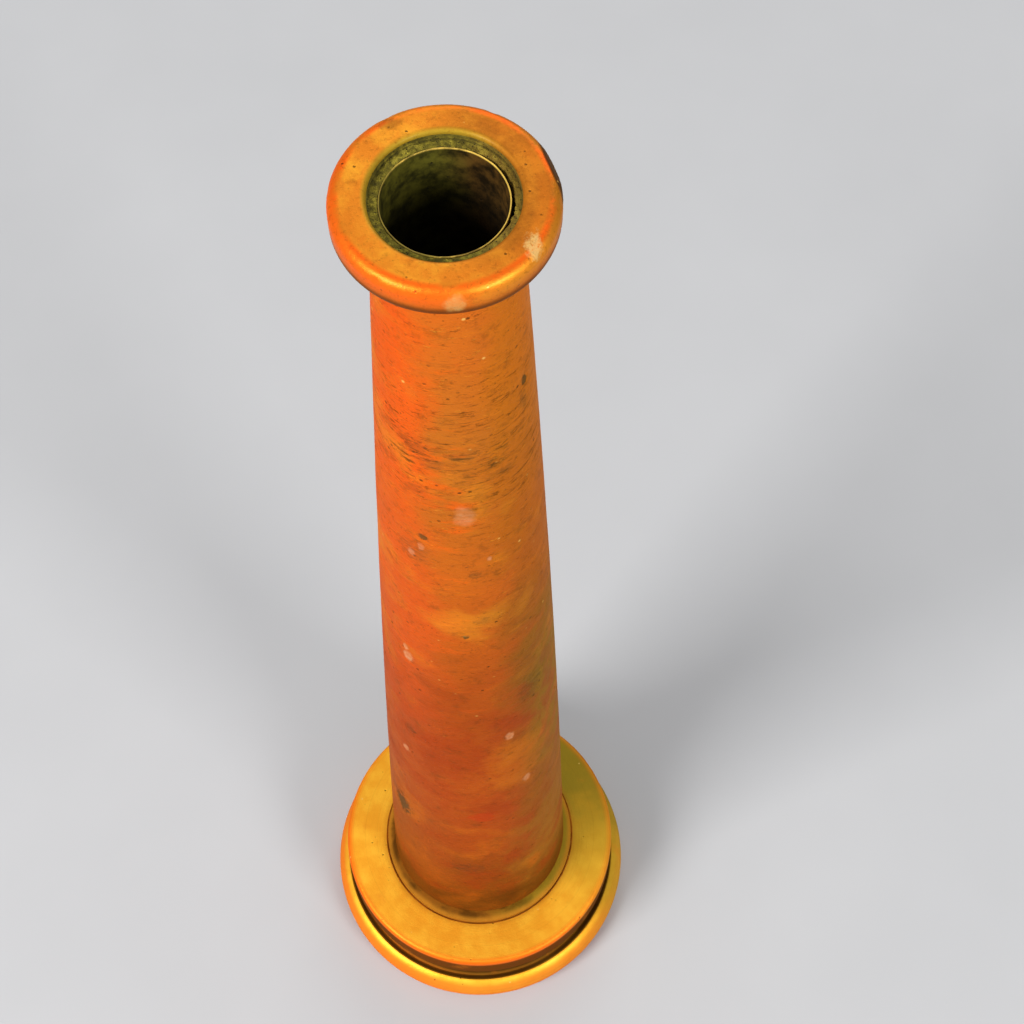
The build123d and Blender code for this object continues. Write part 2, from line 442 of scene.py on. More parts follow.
BARREL_CHIPS = (
    # azimuth, height, size, strength: knocks that show pale scale
    (-88, 197.7, 1.9, 0.55),
    (-135, 146.5, 1.3, 1.0),
    (-137, 149.5, 0.7, 1.0),
    (-55, 93.9, 1.1, 1.0),
    (-66, 118.0, 1.1, 1.0),
    (-142, 104.0, 1.0, 1.0),
    (-120, 187.0, 0.7, 0.55),
    (-128, 184.0, 0.8, 0.55),
    (-73, 184.5, 0.45, 1.0),
    (40, 128.0, 1.3, 1.0),
    (118, 172.0, 1.0, 1.0),
    (150, 66.0, 1.5, 1.0),
)
BARREL_SMUDGES = (
    # azimuth, height, width, height of mark, strength: dark dirt in old knocks
    (-31, 222.3, 0.7, 1.7, 1.0),
    (-35, 218.6, 1.1, 3.4, 0.45),
    (-118, 189.9, 1.1, 0.9, 0.85),
    (-126, 185.0, 3.6, 4.2, 0.50),
    (-92, 160.6, 0.8, 0.8, 0.9),
    (-84, 180.5, 1.4, 1.3, 0.6),
    (-80, 165.5, 1.6, 1.4, 0.5),
    (-137, 115.0, 1.4, 3.0, 0.5),
    (-150, 70.0, 3.4, 6.0, 0.85),
    (-121, 213.5, 2.4, 2.2, 0.75),
    (-110, 210.5, 2.6, 1.8, 0.65),
    (-88, 213.0, 3.0, 1.2, 0.65),
    (-122, 202.5, 2.6, 1.6, 0.5),
    (-60, 206.5, 2.8, 1.2, 0.45),
    (-47, 133.0, 3.6, 6.0, 0.45),
    (-97, 52.0, 4.4, 3.6, 0.5),
    (62, 200.0, 4.0, 1.4, 0.6),
    (95, 120.0, 3.0, 6.0, 0.5),
    (150, 190.0, 2.4, 2.4, 0.5),
)


class BarrelFinish(Finish):
    """The barrel's finish with the patterns that its stains, scratches and marks share."""

    def __init__(self):
        super().__init__("barrel_patina")
        self.share = (self.height - BARREL_FOOT) / (BEAD_BOTTOM - BARREL_FOOT)
        self.broad = self.clouds(22 * MM, 3.0, 0.5, shift=1.3)
        self.mottle = self.clouds(6 * MM, 6.0, 0.62, shift=3.1, warp=0.4)
        self.streaky = self.streaks(110.0, 420.0, 5.0, 0.62, 5.9)
        self.fine = self.streaks(620.0, 1500.0, 5.0, 0.72, 7.7)
        self.patches = self.clouds(13 * MM, 4.0, 0.55, shift=20.0, warp=0.15)
        self.dashes = self.streaks(380.0, 1500.0, 6.0, 0.68, 1.3, 0.6)
        self.ragged = (0.7 * (self.mottle - 0.5) + 0.3 * (self.streaky - 0.5)
                       + 0.9 * (self.patches - 0.5))


def side_patina(f):
    """The run of colours down each side, one side blending raggedly into the next; the bright left
    and the brown right are partly painted light and shade.
    """
    level = f.share + 0.16 * (f.broad - 0.5) + 0.10 * (f.mottle - 0.5)
    left, front, right, back = (f.ramp(level, stops) for stops in
                                (LEFT_PATINA_AND_LIGHT, FRONT_PATINA, RIGHT_PATINA_AND_SHADE, BACK_PATINA))
    to_left = f.fade(f.towards(-168) + f.ragged, 0.22, 0.86)
    to_right = f.fade(f.towards(-12) + f.ragged, 0.35, 0.85)
    to_back = f.fade(f.towards(80) + f.ragged, 0.10, 0.60)
    return f.mix(to_back, f.mix(to_right, f.mix(to_left, front, left), right), back)


def worn_patches(f, colour):
    """Red, brick and golden places over the patina, with tarnish and grime."""
    red = (f.fade(f.streaky + 0.5 * f.broad, 0.78, 0.95)
           * f.fade(f.towards(-150) + f.ragged, 0.1, 0.7) * f.fade(f.share, 0.40, 0.62))
    colour = f.mix(red * 0.8, colour, RED_ORANGE)
    brick = f.band(f.share, 0.36, 0.26) * f.fade(f.mottle + f.broad, 0.92, 1.15)
    colour = f.mix(brick * 0.55, colour, BRICK)
    amber = f.fade(f.streaky, 0.52, 0.66) * f.fade(f.share, 0.45, 0.70)
    colour = f.mix(amber * 0.35, colour, AMBER)
    low_down = f.fade(f.share, 0.62, 0.45)
    colour = f.mix(low_down * f.fade(f.patches, 0.50, 0.72) * 0.60, colour, shade(212, 112, 26))
    colour = f.mix(low_down * f.fade(f.patches, 0.50, 0.30) * 0.60, colour, shade(166, 60, 20))
    colour = f.mix(f.fade(f.patches, 0.52, 0.70) * (1 - low_down) * 0.35, colour, GOLD)
    worn_red = f.spot(on_barrel(-108, 112), 0.9, (8 * MM, 8 * MM, 17 * MM), 6 * MM)
    colour = f.mix(worn_red * 0.5, colour, shade(174, 62, 20))
    worn_gold = f.spot(on_barrel(-60, 104), 0.9, (7 * MM, 7 * MM, 15 * MM), 6 * MM)
    colour = f.mix(worn_gold * 0.5, colour, shade(216, 118, 27))
    tarnish = f.fade(f.clouds(3.2 * MM, 6.0, 0.7, shift=12.0), 0.53, 0.70)
    colour = f.mix(tarnish * 0.38, colour, BROWN)
    grime = f.fade(f.clouds(0.9 * MM, 5.0, 0.75, shift=17.0), 0.54, 0.70)
    colour = f.mix(grime * 0.30, colour, shade(120, 58, 16))
    edge_green = f.fade(f.towards(-8), 0.55, 0.95) * f.band(f.share, 0.42, 0.30)
    return f.mix(edge_green * f.fade(f.mottle, 0.40, 0.60) * 0.6, colour, OLIVE)


def hoop_scratches(f, colour):
    """Short scratches round the upper barrel: the colour, their relief, and the dark ones."""
    scrubbed = (f.fade(f.height + 10 * MM * f.ragged, 188 * MM, 206 * MM)
                * f.fade(f.height, 240 * MM, 220 * MM))
    patchy = f.fade(f.mottle + f.broad, 0.84, 1.12)
    dash_zone = (scrubbed * (0.3 + 0.7 * patchy)).at_least(0.40 * f.fade(f.mottle, 0.50, 0.66))
    dark_dashes = f.fade(f.dashes, 0.55, 0.70) * dash_zone
    bright_dashes = f.fade(f.dashes, 0.37, 0.29) * dash_zone
    colour = f.mix(dark_dashes * 0.75, colour, shade(70, 50, 20))
    colour = f.mix(bright_dashes * 0.35, colour, GOLD)
    hoops = f.streaks(26.0, 3400.0, 2.0, 0.5, 2.8)
    hoop_lines = f.fade(hoops, 0.62, 0.70) * scrubbed * f.fade(f.dashes, 0.44, 0.56)
    colour = f.mix(hoop_lines * 0.40, colour, UMBER)

    ring_dirt = (f.band(f.height + 16 * MM * (f.patches - 0.5) + 10 * MM * (f.mottle - 0.5),
                        211 * MM, 6 * MM) * f.fade(f.towards(-95), 0.1, 0.7)
                 * f.fade(f.dashes, 0.46, 0.62) * f.fade(f.mottle, 0.42, 0.60))
    colour = f.mix(ring_dirt * 0.60, colour, shade(84, 70, 30))
    bright_cuts = f.fade(f.streaks(520.0, 1900.0, 5.0, 0.7, 9.3), 0.60, 0.72)
    colour = f.mix(bright_cuts * f.fade(f.share, 0.5, 0.75) * 0.35, colour, YELLOW_BRASS)
    dark_cuts = f.fade(f.streaks(560.0, 1700.0, 5.0, 0.7, 4.9), 0.58, 0.70)
    colour = f.mix(dark_cuts * f.fade(f.share, 0.4, 0.7) * 0.45, colour, shade(112, 60, 18))
    relief = 0.5 * bright_cuts - 0.9 * dark_dashes - 0.5 * hoop_lines
    return colour, relief - 0.7 * dark_cuts - 0.5 * ring_dirt, dark_dashes


def barrel_knocks(f, colour):
    """Dark dirt in old knocks, pale scale where they are fresh, and one red fleck."""
    smudges = 0.0
    for azimuth_deg, height_mm, wide_mm, high_mm, strength in BARREL_SMUDGES:
        mark = f.spot(on_barrel(azimuth_deg, height_mm), 0.9,
                      (wide_mm * MM, wide_mm * MM, high_mm * MM), 1.0 * MM)
        smudges = (mark * strength).at_least(smudges)
    heart = f.fade(smudges, 0.68, 0.84)
    smudges = (smudges * (0.4 + 0.6 * f.fade(f.dashes, 0.42, 0.58))).at_least(heart)
    colour = f.mix(smudges * 0.80, colour, shade(66, 58, 26))
    chips = 0.0
    for azimuth_deg, height_mm, size_mm, strength in BARREL_CHIPS:
        size = size_mm * MM
        mark = f.spot(on_barrel(azimuth_deg, height_mm), 0.5, (size, size, 1.7 * size),
                      0.8 * size)
        chips = (mark * strength).at_least(chips)
    colour = f.mix(chips * 0.54, colour,
                   f.mix(f.fade(f.fine, 0.4, 0.7), PINK_SCALE, PALE_SCALE))
    red_fleck = f.spot(on_barrel(-87, 82), 0.9, (3.2 * MM, 3.2 * MM, 3.0 * MM), 1.4 * MM)
    return f.mix(red_fleck * 0.32, colour, SCARLET), smudges, chips


def barrel_finish():
    """Red-orange and brown patina, partly painted light and shade on its sides, hoop scratches,
    specks and chips down the barrel, with painted shade at its foot and under the bead.
    """
    f = BarrelFinish()
    colour = worn_patches(f, side_patina(f))
    colour, scratches, dark_dashes = hoop_scratches(f, colour)
    specks = f.fade(f.grains(2.2 * MM, 0.4), 0.15, 0.07) * f.fade(f.streaky, 0.46, 0.58)
    pits = f.fade(f.grains(0.9 * MM, 2.4), 0.20, 0.10) * f.fade(f.mottle, 0.50, 0.64)
    colour = f.mix((specks * 0.8).at_least(pits * 0.55), colour, UMBER)
    glints = f.fade(f.grains(4.6 * MM, 6.6), 0.075, 0.03) * f.fade(f.share, 0.35, 0.6)
    colour = f.mix(glints * 0.7, colour, BRIGHT_BRASS)
    colour, smudges, chips = barrel_knocks(f, colour)

    # Painted shade: the barrel browns towards its foot, where it meets the collar
    foot_darkening = f.fade(f.height + 10 * MM * (f.broad + f.mottle - 1), BARREL_FOOT + 16 * MM,
                       BARREL_FOOT + 3 * MM)
    colour = f.mix(foot_darkening * 0.7, colour,
                   f.mix(f.mottle, shade(92, 54, 14), shade(136, 84, 22)))
    # Painted shadow of the bead on the barrel just below it, with some dirt
    bead_shadow_and_dirt = f.fade(f.height + 2 * MM * (f.mottle - 0.5), BEAD_BOTTOM - 2.0 * MM,
                        BEAD_BOTTOM - 0.5 * MM)
    colour = f.mix(bead_shadow_and_dirt * 0.75, colour, BROWN)

    relief = (0.7 * f.fine + 0.8 * f.mottle + 0.4 * f.streaky + scratches - 0.8 * specks
              - 1.1 * smudges - 0.6 * chips)
    rough = 0.36 + 0.20 * f.mottle + 0.20 * foot_darkening + 0.2 * dark_dashes + 0.2 * smudges
    return f.close(colour, rough, 0.60 - 0.4 * smudges, relief, 0.18 * MM, specular=0.08,
                   edge=WARM_EDGE)


def bead_finish():
    """Orange bead with red edges, a pale scuff that is partly a painted highlight, painted shade on
    its underside, and a yellow-green inner lip.
    """
    f = Finish("bead_patina")
    mottle = f.clouds(3.4 * MM, 6.0, 0.62, shift=1.1)
    broad = f.clouds(11 * MM, 3.0, 0.5, shift=2.6)
    fine = f.clouds(0.55 * MM, 5.0, 0.72, shift=4.2)
    below_top = (TOP - f.height) / MM

    top_left = f.mix(f.fade(mottle, 0.38, 0.66), shade(224, 130, 34), shade(240, 160, 44))
    top_right = f.mix(f.fade(mottle, 0.38, 0.66), shade(170, 96, 24), shade(204, 122, 32))
    to_right = f.fade(f.towards(12) + 0.6 * (broad - 0.5), -0.1, 0.7)
    colour = f.mix(to_right, top_left, top_right)
    ledge = f.band(f.radius, 10.9 * MM, 1.2 * MM) * f.fade(broad, 0.38, 0.58)
    colour = f.mix(ledge * 0.45, colour, shade(216, 116, 28))

    side = f.fade(f.radius + 0.5 * MM * (mottle - 0.5), BEAD_RADIUS - 1.5 * MM,
                  BEAD_RADIUS - 0.5 * MM)
    side_colour = f.mix(f.fade(f.towards(-150) + 0.8 * (mottle - 0.5), -0.1, 0.7),
                        shade(236, 146, 40), shade(250, 104, 22))
    side_colour = f.mix(f.fade(f.towards(30), 0.3, 0.9), side_colour, shade(200, 124, 32))
    low_side = f.fade(below_top + 0.9 * (mottle - 0.5), 1.4, 3.2)
    side_colour = f.mix(low_side * 0.8, side_colour, shade(190, 90, 24))
    colour = f.mix(side * 0.9, colour, side_colour)
    corner = f.band(f.radius, BEAD_RADIUS - 1.05 * MM, 0.7 * MM) * f.fade(below_top, 1.2, 0.3)
    colour = f.mix(corner * f.fade(mottle, 0.35, 0.6) * 0.75, colour, RED_ORANGE)
    # Painted shade: the bead's underside and the crease below it turn dark brown
    underside = f.fade(below_top + 0.5 * (mottle - 0.5), 2.5, 3.5)
    colour = f.mix(underside * 0.85, colour, shade(92, 52, 13))

    lip = f.fade(f.radius + 0.25 * MM * (mottle - 0.5), TIP_SEAT_RADIUS + 0.80 * MM,
                 TIP_SEAT_RADIUS + 0.10 * MM)
    rear_left = f.fade(f.towards(140) + 0.8 * (mottle - 0.5), -0.5, 0.6)
    lip_colour = f.mix(rear_left, shade(176, 108, 30), shade(158, 142, 40))
    colour = f.mix(lip * 0.8, colour, lip_colour)

    # The pale cream scuff at the front-right is partly a scuff and partly a painted highlight
    scuff = f.spot(on_bead(-38, 11.9), 0.8, (1.3 * MM, 2.0 * MM, 1.8 * MM), 0.9 * MM)
    pale = f.spot(on_bead(-88, 12.9, 2.1), 0.5, (1.5 * MM, 1.5 * MM, 1.9 * MM), 1.2 * MM)
    marks = (scuff * f.fade(fine, 0.30, 0.46)).at_least(pale * 0.55)
    colour = f.mix(marks * 0.75, colour, f.mix(f.fade(fine, 0.3, 0.7), shade(228, 172, 92),
                                               shade(236, 208, 134)))
    # The dark sliver along the knocked flat is dirt with painted shade; the scrape at the back is
    # dirt
    nick = f.fade(f.radius * f.towards(16) + 0.5 * MM * (mottle - 0.5), 11.95 * MM, 12.25 * MM)
    scrape = f.spot(on_bead(120, 11.4), 0.7, (1.9 * MM, 1.2 * MM, 1 * MM), 0.8 * MM)
    dirt = (nick * 0.95).at_least(scrape * 0.35)
    colour = f.mix(dirt, colour, shade(60, 44, 18))
    specks = f.fade(f.grains(1.3 * MM, 0.9), 0.16, 0.07) * f.fade(mottle, 0.48, 0.60)
    colour = f.mix(specks * 0.75, colour, UMBER)
    grains = f.fade(fine, 0.54, 0.68)
    colour = f.mix(grains * 0.34, colour, BROWN)
    blotches = f.fade(f.clouds(1.8 * MM, 5.0, 0.7, shift=9.0), 0.54, 0.68)
    colour = f.mix(blotches * 0.30, colour, shade(140, 70, 18))
    glints = f.fade(f.grains(2.6 * MM, 3.3), 0.07, 0.03) * f.fade(mottle, 0.45, 0.55)
    colour = f.mix(glints * 0.8, colour, BRIGHT_BRASS)

    relief = 0.5 * fine + 0.7 * mottle - 0.7 * specks - 0.8 * dirt + 0.4 * marks
    rough = 0.27 + 0.22 * mottle + 0.25 * marks + 0.3 * lip + 0.2 * dirt
    return f.close(colour, rough, 0.55, relief, 0.10 * MM, coat=0.07 * (1 - underside), specular=0.08,
                   edge=WARM_EDGE)


def crust_finish():
    """Green-brown crust on the ledge and wall of the recess round the outlet."""
    f = Finish("recess_crust")
    lumps = f.clouds(0.8 * MM, 6.0, 0.7, shift=2.0)
    broad = f.clouds(4 * MM, 3.0, 0.5, shift=5.0)
    colour = f.mix(f.fade(lumps, 0.36, 0.62), shade(84, 76, 22), shade(138, 124, 38))
    colour = f.mix(f.fade(lumps + broad, 1.02, 1.22) * 0.8, colour, shade(186, 168, 60))
    # Painted shade: the recess wall is darker than the ledge below it
    wall = f.fade(f.height, BARREL_TOP + 0.15 * MM, BARREL_TOP + 0.5 * MM)
    colour = f.mix(wall * 0.6, colour, shade(70, 62, 16))
    colour = f.mix(f.fade(f.towards(0) + broad, 0.6, 1.4) * 0.6, colour, shade(126, 94, 32))
    corner = f.band(f.height, BARREL_TOP + 0.02 * MM, 0.35 * MM) * f.fade(
        f.radius, TIP_SEAT_RADIUS - 0.35 * MM, TIP_SEAT_RADIUS)
    colour = f.mix(corner * 0.6, colour, shade(40, 36, 12))
    colour = f.mix(f.fade(f.grains(0.5 * MM, 0.2), 0.26, 0.10) * 0.8, colour, BLACK_DIRT_AND_SHADE)
    return f.close(colour, 0.72 + 0.2 * lumps, 0.10, lumps, 0.30 * MM, specular=0.2)


def bore_finish():
    """Dull dark brown and green inside of the waterway."""
    f = Finish("bore_tarnish")
    streaks = f.streaks(420.0, 60.0, 4.0, 0.6, 0.7)
    stain = f.clouds(9 * MM, 4.0, 0.6, shift=8.0)
    colour = f.mix(f.fade(stain, 0.40, 0.65), DARK_OLIVE, BROWN)
    colour = f.mix(f.fade(streaks, 0.50, 0.72) * 0.7, colour, UMBER)
    return f.close(colour, 0.45 + 0.3 * streaks, 0.35, streaks, 0.06 * MM, specular=0.2)


def sleeve_finish():
    """Thin drawn tube: a bright rubbed rim, olive and brown inside, with painted shade deeper down.
    """
    f = Finish("sleeve_rim")
    stain = f.clouds(2.4 * MM, 6.0, 0.65, shift=6.0)
    broad = f.clouds(8 * MM, 3.0, 0.5, shift=4.0)
    green = f.mix(f.fade(stain, 0.36, 0.66), shade(52, 50, 16), shade(112, 106, 32))
    brown = f.mix(f.fade(stain, 0.36, 0.66), shade(40, 28, 10), shade(104, 72, 26))
    colour = f.mix(f.fade(f.towards(0) + broad - 0.5, -0.2, 0.5), green, brown)
    # Painted shade: the tube darkens towards black further down from its rim
    depth = f.fade(f.height, SLEEVE_TOP - 1.0 * MM, SLEEVE_TOP - 12 * MM)
    colour = f.mix(depth * 0.7, colour, BLACK_DIRT_AND_SHADE)
    rim = f.fade(f.height, SLEEVE_TOP - 0.30 * MM, SLEEVE_TOP - 0.10 * MM)
    bright = f.fade(stain + 0.25 * f.towards(20), 0.42, 0.62)
    colour = f.mix(rim * (0.25 + 0.75 * bright), colour, shade(226, 188, 84))
    specks = f.fade(f.grains(1.6 * MM, 5.1), 0.12, 0.05)
    colour = f.mix(specks * 0.8, colour, BLACK_DIRT_AND_SHADE)
    return f.close(colour, 0.38 + 0.3 * stain, 0.45, stain - specks, 0.06 * MM, specular=0.3)


def collar_finish():
    """Brown cove at the barrel's foot: painted shade where the barrel meets the coupling, lighter
    outwards.
    """
    f = Finish("collar_cove_shade")
    stain = f.clouds(5 * MM, 5.0, 0.6, shift=9.0)
    fine = f.clouds(0.8 * MM, 4.0, 0.7, shift=2.2)
    # The dark brown base is painted shade in the cove, varied by noise
    colour = f.mix(f.fade(stain, 0.38, 0.64), shade(84, 50, 12), shade(124, 76, 20))
    colour = f.mix(f.fade(f.towards(0) + stain, 0.5, 1.3) * 0.7, colour, OLIVE)
    # Lighter outwards, where the painted shade of the cove fades
    outward = f.fade(f.radius + 0.5 * MM * (stain - 0.5), FOOT_RADIUS + 0.4 * MM,
                     JOURNAL_RADIUS - 0.1 * MM)
    colour = f.mix(outward * 0.75, colour, shade(188, 122, 34))
    return f.close(colour, 0.60 + 0.25 * stain, 0.2, stain + 0.5 * fine, 0.10 * MM,
                   specular=0.05, edge=WARM_EDGE)


def coupling_finish():
    """Golden coupling with red-orange edges, olive at the right, and painted shade in its groove, on
    its disc's side, next to the barrel and where the barrel's shadow falls.
    """
    f = Finish("coupling_patina")
    broad = f.clouds(20 * MM, 3.0, 0.5, shift=1.9)
    mottle = f.clouds(4.6 * MM, 6.0, 0.62, shift=4.4)
    fine = f.clouds(0.8 * MM, 5.0, 0.72, shift=7.1)
    colour = f.mix(f.fade(mottle, 0.36, 0.68), shade(248, 168, 42), shade(255, 188, 54))
    below_groove = f.fade(f.height, GROOVE_LOW + 0.5 * MM, GROOVE_LOW - 0.5 * MM)
    colour = f.mix(below_groove * 0.85, colour, f.mix(mottle, shade(216, 116, 30),
                                                      shade(232, 144, 42)))
    right = f.fade(f.towards(28) + 0.7 * (broad - 0.5), 0.15, 0.85)
    colour = f.mix(right * 0.75, colour, f.mix(mottle, shade(168, 142, 36), shade(204, 164, 48)))
    # Painted shadow of the barrel on the disc at the right-rear
    painted_barrel_shadow = f.fade(f.towards(52) + 0.5 * (mottle - 0.5), 0.55, 0.95)
    colour = f.mix(painted_barrel_shadow * 0.7, colour, shade(122, 112, 30))
    # Painted shade on the disc next to the barrel's collar
    inner = f.fade(f.radius, SWIVEL_BORE_RADIUS + 1.5 * MM, SWIVEL_BORE_RADIUS + 0.2 * MM)
    colour = f.mix(inner * 0.40, colour, shade(170, 108, 28))

    upper = f.fade(f.height, GROOVE_HIGH - 0.4 * MM, GROOVE_HIGH + 0.6 * MM)
    # Red-orange on the disc's rounded edge, strongest towards the front-left: partly patina, partly
    # painted reflection
    rounded = f.fade(f.radius + 0.3 * MM * (mottle - 0.5), DISC_RADIUS - 1.7 * MM,
                     DISC_RADIUS - 0.2 * MM)
    warm = f.fade(f.towards(-125), -0.2, 0.6)
    colour = f.mix(upper * rounded * (0.35 + 0.6 * warm), colour, shade(252, 112, 22))
    # Painted shade: the disc's side wall is dark brown below its rounded edge
    side = f.fade(f.height + 0.5 * MM * (mottle - 0.5), DISC_TOP - 0.7 * MM, DISC_TOP - 2.2 * MM)
    colour = f.mix(upper * side * 0.97, colour, shade(96, 54, 12))
    # Painted shade in the finger groove
    groove = (f.fade(f.radius, GROOVE_EDGE_RADIUS + 0.3 * MM, GROOVE_EDGE_RADIUS - 0.5 * MM)
              * f.fade(f.height, GROOVE_HIGH + 1.2 * MM, GROOVE_HIGH - 0.2 * MM)
              * f.fade(f.height, GROOVE_LOW - 0.8 * MM, GROOVE_LOW + 0.3 * MM))
    colour = f.mix(groove * 0.95, colour, f.mix(mottle, UMBER, shade(96, 58, 18)))

    lower = f.fade(f.height, GROOVE_LOW + 0.4 * MM, GROOVE_LOW - 0.4 * MM)
    # Red-orange on the lower bead's edge, strongest towards the front-left: partly patina, partly
    # painted reflection
    rim_low = f.fade(f.height, 5.4 * MM, 2.6 * MM) * lower
    colour = f.mix(rim_low * (0.25 + 0.6 * warm), colour, shade(244, 112, 24))
    left_red = lower * f.fade(f.towards(-168) + 0.6 * (mottle - 0.5), 0.2, 0.8)
    colour = f.mix(left_red * 0.55, colour, ORANGE)
    # Browner in the last millimetre above the floor
    foot_darkening = f.fade(f.height, 1.2 * MM, 0.1 * MM)
    colour = f.mix(foot_darkening * 0.7, colour, BROWN)

    stains = f.fade(f.clouds(8 * MM, 6.0, 0.68, shift=15.0), 0.56, 0.70)
    colour = f.mix(stains * 0.28, colour, AMBER)
    turned = f.streaks(20.0, 2200.0, 2.0, 0.5, 2.2)
    rings = f.node("ShaderNodeTexNoise", {"noise_dimensions": "1D"},
                   {"W": f.radius * 2600, "Detail": 2.0}, "Fac")
    colour = f.mix(f.fade(rings, 0.55, 0.70) * 0.16, colour, BROWN)
    specks = f.fade(f.grains(2.0 * MM, 0.9), 0.13, 0.05) * f.fade(mottle, 0.48, 0.60)
    colour = f.mix(specks * 0.7, colour, UMBER)
    glints = f.fade(f.grains(5.0 * MM, 3.9), 0.05, 0.02)
    colour = f.mix(glints * 0.6, colour, BRIGHT_BRASS)

    relief = 0.5 * fine + 0.7 * mottle + 0.2 * rings + 0.2 * turned - 0.7 * specks
    dull = groove.at_least(upper * side)
    rough = 0.34 + 0.22 * mottle + 0.3 * dull + 0.15 * painted_barrel_shadow + 0.20 * below_groove
    metal = 0.55 - 0.10 * dull - 0.20 * below_groove
    return f.close(colour, rough, metal, relief, 0.11 * MM, coat=0.04 * (1 - dull),
                   specular=0.08, edge=WARM_EDGE)


def thread_finish():
    """Duller brass inside the coupling, black dirt down in the thread."""
    f = Finish("thread_brass")
    stain = f.clouds(4 * MM, 5.0, 0.62, shift=3.7)
    rub = f.streaks(200.0, 4000.0, 3.0, 0.6, 0.9)
    root = f.fade(f.radius, THREAD_MINOR_RADIUS + 0.3 * MM, THREAD_MINOR_RADIUS + 1.6 * MM)
    colour = f.mix(f.fade(stain, 0.38, 0.66), shade(168, 104, 34), shade(216, 150, 54))
    colour = f.mix(root * 0.85, colour, UMBER)
    colour = f.mix(f.fade(rub, 0.6, 0.75) * 0.5, colour, BRIGHT_BRASS)
    return f.close(colour, 0.36 + 0.3 * stain, 0.60, rub + stain, 0.06 * MM)


def screw_finish():
    """Dull brass screw with dirt in its slot."""
    f = Finish("screw_tarnish")
    stain = f.clouds(1.6 * MM, 5.0, 0.62, shift=2.9)
    slot_floor = f.fade(f.radius, DISC_RADIUS - 0.5 * MM, DISC_RADIUS - 1.2 * MM)
    colour = f.mix(f.fade(stain, 0.35, 0.65), shade(176, 116, 36), shade(222, 160, 58))
    colour = f.mix(slot_floor * 0.9, colour, UMBER)
    return f.close(colour, 0.38 + 0.3 * stain, 0.55, stain, 0.08 * MM)


def ball_finish():
    """Bronze balls, bright where they roll, with films of old grease."""
    f = Finish("ball_bronze")
    film = f.clouds(1.5 * MM, 4.0, 0.6)
    colour = f.mix(f.fade(film, 0.45, 0.65), BRIGHT_BRASS, BROWN)
    return f.close(colour, 0.18 + 0.3 * film, 0.9, film, 0.01 * MM)


def gasket_finish():
    """Old black rubber, grey with bloom and finely crazed."""
    f = Finish("gasket_rubber")
    bloom = f.clouds(6 * MM, 5.0, 0.6)
    craze = f.node("ShaderNodeTexVoronoi", {"feature": "DISTANCE_TO_EDGE"},
                   {"Vector": f.place, "Scale": 1 / (1.4 * MM)}, "Distance")
    cracks = f.fade(craze, 0.06, 0.0)
    colour = f.mix(f.fade(bloom, 0.40, 0.70) * 0.6, shade(34, 33, 32), shade(92, 88, 84))
    colour = f.mix(cracks * 0.8, colour, shade(14, 14, 14))
    return f.close(colour, 0.75 + 0.15 * bloom, 0.0, bloom - cracks, 0.10 * MM, specular=0.35)


# ======================================================================================
# Pieces
# ======================================================================================
# Places of the finishes in the list that each maker gives: 0 is always the outside
OUTSIDE = 0
LEDGE = 1
WATERWAY = 2
RECESS = 1
TAIL_BORE = 1
THREAD = 1

# Where and how widely the joint between sleeve and barrel has opened
CRACK_SIDE = radians(10)
CRACK_SPREAD = radians(42)
CRACK_WIDTH_MM = 0.36
LEDGE_CLEARANCE_MM = 0.26


def crack_share(azimuth):
    """How far the joint between sleeve and barrel has opened here, 0 to 1."""
    return exp(-(turn_between(azimuth, CRACK_SIDE) / CRACK_SPREAD) ** 4)


def barrel_side(height):
    """Radius of the barrel's outside at this height: a straight taper, slightly swelled."""
    share = (height - BARREL_FOOT) / (BEAD_BOTTOM - BARREL_FOOT)
    taper = FOOT_RADIUS + (NECK_RADIUS - FOOT_RADIUS) * share
    return taper + BARREL_BULGE * 4 * share * (1 - share)


BARREL_DINGS = (
    # azimuth, height, size, depth
    (-31, 223.0, 1.6, 0.22),
    (-34, 221.2, 1.2, 0.18),
    (-88, 197.7, 2.2, 0.07),
    (-118, 190.0, 3.5, 0.09),
    (-135, 146.5, 1.6, 0.10),
    (-55, 93.9, 1.3, 0.10),
    (-150, 78.0, 4.0, 0.14),
    (35, 150.0, 3.0, 0.15),
    (100, 182.0, 2.4, 0.16),
    (140, 96.0, 4.5, 0.20),
    (78, 60.0, 3.2, 0.15),
)


def barrel_wear(azimuth, radius, height, finish):
    """Dings in the outside, and a lumpy ledge that has parted from the sleeve on one side."""
    if finish == OUTSIDE:
        radius -= (0.035 + 0.03 * ripple(azimuth, radius, height, 14 * MM)) * MM
        for azimuth_deg, at_mm, size_mm, depth_mm in BARREL_DINGS:
            share = dent(azimuth, radius, height, azimuth_deg, at_mm * MM, size_mm * MM)
            radius -= depth_mm * MM * share
    if finish == LEDGE:
        lump = ripple(azimuth, radius, height, 0.55 * MM, 5.0)
        near_top = max(0.0, 1 - (BARREL_TOP - height) / (1.5 * MM))
        inner = max(0.0, 1 - (radius - SLEEVE_RADIUS) / (0.5 * MM))
        open_joint = CRACK_WIDTH_MM * crack_share(azimuth) * (1 + 0.9 * lump)
        radius += (open_joint - LEDGE_CLEARANCE_MM) * MM * near_top * inner
        height += (0.07 * lump - 0.03) * MM * near_top
    return radius, height


